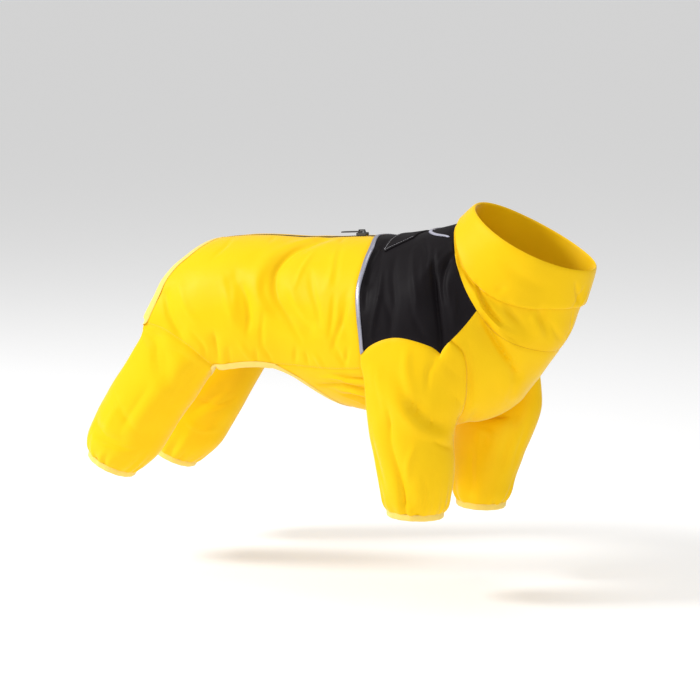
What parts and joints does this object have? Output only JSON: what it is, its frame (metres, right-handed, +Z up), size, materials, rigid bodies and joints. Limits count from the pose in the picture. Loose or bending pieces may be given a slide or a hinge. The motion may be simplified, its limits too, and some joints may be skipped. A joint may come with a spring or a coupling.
{
  "type": "dog raincoat",
  "caption": "Hollow four-legged raincoat with a turned-down collar, contrasting yoke, back zip, reflective strips and bound openings.",
  "frame": {"origin": "inner face of the yoke on the back line over the withers, where the coat rests on its wearer", "axes": "+X along the back towards the head, +Y to the wearer's left, +Z up"},
  "size_m": [0.5754, 0.2059, 0.3361],
  "materials": {
    "cloth": "smooth coated yellow rain cloth with a soft sheen",
    "yoke_cloth": "near-black coated rain cloth with a faint sheen",
    "binding": "pale yellow knitted elastic binding, matt",
    "reflective": "grey reflective tape with a satin sheen",
    "zip_tape": "black woven tape with a moulded coil",
    "zip_metal": "black painted metal"
  },
  "bodies": {
    "coat": {"rear_body_right": "cloth", "rear_body_left": "cloth", "chest": "cloth", "belly": "cloth", "yoke": "yoke_cloth", "front_sleeve_right": "cloth", "front_sleeve_left": "cloth", "hind_sleeve_right": "cloth", "hind_sleeve_left": "cloth", "front_cuff_right": "binding", "front_cuff_left": "binding", "hind_cuff_right": "binding", "hind_cuff_left": "binding", "collar": "cloth", "opening_binding": "binding", "rear_strip": "reflective", "neck_strip": "reflective", "leash_flap": "yoke_cloth", "back_zip": "zip_tape", "zip_slider": "zip_metal"},
    "pull_tab": {"zip_pull": "zip_metal"}
  },
  "joints": [
    {"name": "pull_tab_hinge", "type": "hinge", "parent": "coat", "child": "pull_tab", "pos_m": [-0.08499, 0, -0.00472], "axis": [0, 1, 0], "range_deg": [0, 150]}
  ]
}
